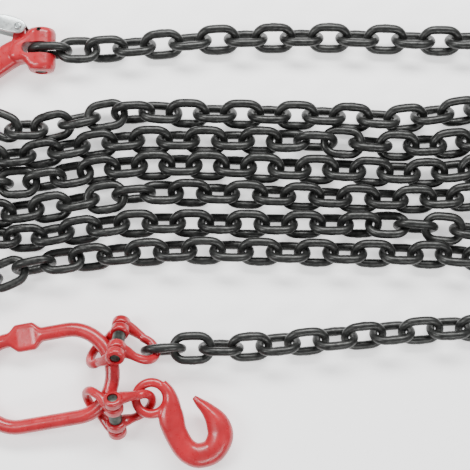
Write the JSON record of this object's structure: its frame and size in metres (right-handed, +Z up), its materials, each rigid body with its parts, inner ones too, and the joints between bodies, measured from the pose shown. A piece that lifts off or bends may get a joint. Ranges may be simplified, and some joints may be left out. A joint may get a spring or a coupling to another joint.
{
  "type": "lifting chain sling",
  "caption": "Single-leg lifting chain sling laid in rows, with an oblong master link, a shortening grab hook on its own connecting link and a clevis sling hook with a sprung latch.",
  "frame": {"origin": "under the middle of the sling as it lies, at the level of the ground", "axes": "+X along the rows of chain, away from the two hooks; +Y across the rows, from the master link to the sling hook; +Z up"},
  "size_m": [0.6238, 0.4016, 0.0494],
  "materials": {
    "chain_steel": "dark satin, quenched and tempered",
    "red_paint": "glossy red powder coat",
    "pin_steel": "dark oiled steel",
    "zinc_sheet": "bright zinc-plated sheet",
    "spring_steel": "bright spring wire"
  },
  "bodies": {
    "pile": {"turn_1": "chain_steel", "row_6": "chain_steel", "turn_2": "chain_steel", "row_5": "chain_steel", "turn_3": "chain_steel", "row_4": "chain_steel", "turn_4": "chain_steel", "row_3": "chain_steel", "turn_5": "chain_steel", "row_2": "chain_steel", "turn_6": "chain_steel", "row_1": "chain_steel", "turn_7": "chain_steel"},
    "bottom_link_01": {"bottom_link_01": "chain_steel"},
    "bottom_link_02": {"bottom_link_02": "chain_steel"},
    "bottom_link_03": {"bottom_link_03": "chain_steel"},
    "bottom_link_04": {"bottom_link_04": "chain_steel"},
    "bottom_link_05": {"bottom_link_05": "chain_steel"},
    "bottom_link_06": {"bottom_link_06": "chain_steel"},
    "bottom_link_07": {"bottom_link_07": "chain_steel"},
    "bottom_link_08": {"bottom_link_08": "chain_steel"},
    "bottom_link_09": {"bottom_link_09": "chain_steel"},
    "bottom_link_10": {"bottom_link_10": "chain_steel"},
    "bottom_link_11": {"bottom_link_11": "chain_steel"},
    "bottom_link_12": {"bottom_link_12": "chain_steel"},
    "top_link_01": {"top_link_01": "chain_steel"},
    "top_link_02": {"top_link_02": "chain_steel"},
    "top_link_03": {"top_link_03": "chain_steel"},
    "top_link_04": {"top_link_04": "chain_steel"},
    "top_link_05": {"top_link_05": "chain_steel"},
    "top_link_06": {"top_link_06": "chain_steel"},
    "top_link_07": {"top_link_07": "chain_steel"},
    "top_link_08": {"top_link_08": "chain_steel"},
    "top_link_09": {"top_link_09": "chain_steel"},
    "top_link_10": {"top_link_10": "chain_steel"},
    "top_link_11": {"top_link_11": "chain_steel"},
    "top_link_12": {"top_link_12": "chain_steel"},
    "top_link_13": {"top_link_13": "chain_steel"},
    "top_link_14": {"top_link_14": "chain_steel"},
    "upper_chain_side": {"upper_chain_half": "red_paint", "upper_load_pin": "pin_steel", "upper_spring_sleeve": "pin_steel"},
    "upper_master_side": {"upper_master_half": "red_paint"},
    "master_link": {"master_link": "red_paint"},
    "lower_master_side": {"lower_master_half": "red_paint", "lower_load_pin": "pin_steel", "lower_spring_sleeve": "pin_steel"},
    "lower_hook_side": {"lower_hook_half": "red_paint"},
    "grab_hook": {"grab_hook": "red_paint"},
    "sling_hook": {"sling_hook_body": "red_paint", "clevis_pin": "pin_steel", "clevis_roll_pin": "pin_steel", "latch_pin": "pin_steel"},
    "latch": {"latch": "zinc_sheet", "latch_spring": "spring_steel"}
  },
  "joints": [
    {"name": "bottom_joint_12", "type": "hinge", "parent": "pile", "child": "bottom_link_12", "pos_m": [0.20724, -0.08444, 0.01233], "axis": [-0.1608, -0.6147, 0.7722], "range_deg": [0, 30]},
    {"name": "bottom_joint_11", "type": "hinge", "parent": "bottom_link_12", "child": "bottom_link_11", "pos_m": [0.18302, -0.08449, 0.01258], "axis": [0.0313, 0.7326, 0.6799], "range_deg": [0, 30]},
    {"name": "bottom_joint_10", "type": "hinge", "parent": "bottom_link_11", "child": "bottom_link_10", "pos_m": [0.15896, -0.08617, 0.01254], "axis": [-0.0332, 0.6079, -0.7934], "range_deg": [-30, 30]},
    {"name": "bottom_joint_09", "type": "hinge", "parent": "bottom_link_10", "child": "bottom_link_09", "pos_m": [0.13493, -0.08797, 0.01254], "axis": [0.0531, -0.7354, -0.6756], "range_deg": [-30, 30]},
    {"name": "bottom_joint_08", "type": "hinge", "parent": "bottom_link_09", "child": "bottom_link_08", "pos_m": [0.11095, -0.09046, 0.01254], "axis": [-0.0601, 0.6058, -0.7934], "range_deg": [-30, 30]},
    {"name": "bottom_joint_07", "type": "hinge", "parent": "bottom_link_08", "child": "bottom_link_07", "pos_m": [0.08698, -0.0929, 0.01254], "axis": [0.0742, -0.7335, -0.6756], "range_deg": [-30, 30]},
    {"name": "bottom_joint_06", "type": "hinge", "parent": "bottom_link_07", "child": "bottom_link_06", "pos_m": [0.06301, -0.09539, 0.01254], "axis": [0.0627, -0.6055, 0.7934], "range_deg": [-30, 30]},
    {"name": "bottom_joint_05", "type": "hinge", "parent": "bottom_link_06", "child": "bottom_link_05", "pos_m": [0.03902, -0.09775, 0.01283], "axis": [-0.0667, 0.7411, 0.668], "range_deg": [-30, 30]},
    {"name": "bottom_joint_04", "type": "hinge", "parent": "bottom_link_05", "child": "bottom_link_04", "pos_m": [0.01503, -0.10003, 0.01279], "axis": [0.0548, -0.5732, 0.8176], "range_deg": [-30, 30]},
    {"name": "bottom_joint_03", "type": "hinge", "parent": "bottom_link_04", "child": "bottom_link_03", "pos_m": [-0.009, -0.10176, 0.01426], "axis": [-0.0308, 0.8131, 0.5813], "range_deg": [-30, 30]},
    {"name": "bottom_joint_02", "type": "hinge", "parent": "bottom_link_03", "child": "bottom_link_02", "pos_m": [-0.03312, -0.10133, 0.01405], "axis": [0.0016, 0.3392, -0.9407], "range_deg": [-30, 15]},
    {"name": "bottom_joint_01", "type": "hinge", "parent": "bottom_link_02", "child": "bottom_link_01", "pos_m": [-0.05721, -0.10211, 0.0147], "axis": [0.0219, -0.98, -0.1979], "range_deg": [-30, 30]},
    {"name": "top_joint_01", "type": "hinge", "parent": "pile", "child": "top_link_01", "pos_m": [0.15793, 0.16475, 0.01254], "axis": [0.0117, 0.7372, 0.6756], "range_deg": [-30, 30]},
    {"name": "top_joint_02", "type": "hinge", "parent": "top_link_01", "child": "top_link_02", "pos_m": [0.13364, 0.16553, 0.01254], "axis": [-0.0181, -0.6085, 0.7934], "range_deg": [-30, 30]},
    {"name": "top_joint_03", "type": "hinge", "parent": "top_link_02", "child": "top_link_03", "pos_m": [0.10935, 0.16624, 0.01254], "axis": [-0.0217, -0.737, -0.6756], "range_deg": [-30, 30]},
    {"name": "top_joint_04", "type": "hinge", "parent": "top_link_03", "child": "top_link_04", "pos_m": [0.08506, 0.16697, 0.01254], "axis": [0.0184, 0.6085, -0.7934], "range_deg": [-30, 30]},
    {"name": "top_joint_05", "type": "hinge", "parent": "top_link_04", "child": "top_link_05", "pos_m": [0.06076, 0.16723, 0.01254], "axis": [-0.0099, -0.7372, -0.6756], "range_deg": [-30, 30]},
    {"name": "top_joint_06", "type": "hinge", "parent": "top_link_05", "child": "top_link_06", "pos_m": [0.03646, 0.16705, 0.01254], "axis": [-0.0027, 0.6088, -0.7934], "range_deg": [-30, 30]},
    {"name": "top_joint_07", "type": "hinge", "parent": "top_link_06", "child": "top_link_07", "pos_m": [0.01216, 0.16668, 0.01254], "axis": [-0.0101, 0.7372, 0.6756], "range_deg": [-30, 30]},
    {"name": "top_joint_08", "type": "hinge", "parent": "top_link_07", "child": "top_link_08", "pos_m": [-0.01213, 0.16613, 0.01254], "axis": [0.0129, -0.6086, 0.7934], "range_deg": [-30, 0]},
    {"name": "top_joint_09", "type": "hinge", "parent": "top_link_08", "child": "top_link_09", "pos_m": [-0.03639, 0.16468, 0.01254], "axis": [-0.04, 0.7362, 0.6756], "range_deg": [-30, 30]},
    {"name": "top_joint_10", "type": "hinge", "parent": "top_link_09", "child": "top_link_10", "pos_m": [-0.06057, 0.16225, 0.01254], "axis": [0.057, -0.6061, 0.7934], "range_deg": [-30, 0]},
    {"name": "top_joint_11", "type": "hinge", "parent": "top_link_10", "child": "top_link_11", "pos_m": [-0.08476, 0.1599, 0.0119], "axis": [0.0851, -0.7191, -0.6897], "range_deg": [0, 30]},
    {"name": "top_joint_12", "type": "hinge", "parent": "top_link_11", "child": "top_link_12", "pos_m": [-0.10894, 0.15754, 0.01302], "axis": [-0.0921, 0.6675, -0.7389], "range_deg": [0, 30]},
    {"name": "top_joint_13", "type": "hinge", "parent": "top_link_12", "child": "top_link_13", "pos_m": [-0.1332, 0.15612, 0.01287], "axis": [0.036, -0.5627, -0.8259], "range_deg": [0, 30]},
    {"name": "top_joint_14", "type": "hinge", "parent": "top_link_13", "child": "top_link_14", "pos_m": [-0.15749, 0.15546, 0.01489], "axis": [-0.0592, 0.9073, -0.4162], "range_deg": [-30, 30]},
    {"name": "upper_chain_swing", "type": "hinge", "parent": "bottom_link_01", "child": "upper_chain_side", "pos_m": [-0.08124, -0.10399, 0.0146], "axis": [-0.0068, 0.0964, 0.9953], "range_deg": [-15, 3]},
    {"name": "upper_pin_hinge", "type": "hinge", "parent": "upper_chain_side", "child": "upper_master_side", "pos_m": [-0.1018, -0.095, 0.0264], "axis": [-0.0426, -0.6971, 0.7157], "range_deg": [-25, 30]},
    {"name": "master_link_swing", "type": "hinge", "parent": "upper_master_side", "child": "master_link", "pos_m": [-0.11643, -0.09802, 0.01877], "axis": [0.6562, -0.7529, 0.0502], "range_deg": [-11, 25]},
    {"name": "lower_master_swing", "type": "hinge", "parent": "master_link", "child": "lower_master_side", "pos_m": [-0.12222, -0.15377, 0.01733], "axis": [-0.8266, -0.556, -0.0874], "range_deg": [-12, 12]},
    {"name": "lower_pin_hinge", "type": "hinge", "parent": "lower_master_side", "child": "lower_hook_side", "pos_m": [-0.1037, -0.1575, 0.0262], "axis": [0.026, -0.6476, -0.7615], "range_deg": [-22, 30]},
    {"name": "grab_hook_swing", "type": "hinge", "parent": "lower_hook_side", "child": "grab_hook", "pos_m": [-0.07934, -0.15348, 0.00967], "axis": [-0.7072, -0.6863, -0.1701], "range_deg": [0, 35]},
    {"name": "sling_hook_swing", "type": "hinge", "parent": "top_link_14", "child": "sling_hook", "pos_m": [-0.17265, 0.15526, 0.0146], "axis": [0, 1, 0], "range_deg": [-60, 60]},
    {"name": "latch_hinge", "type": "hinge", "parent": "sling_hook", "child": "latch", "pos_m": [-0.19223, 0.17486, 0.01392], "axis": [-0.0349, 0, 0.9994], "range_deg": [0, 40], "stiffness_Nm_per_rad": 0.04, "springref_deg": -17.19}
  ]
}
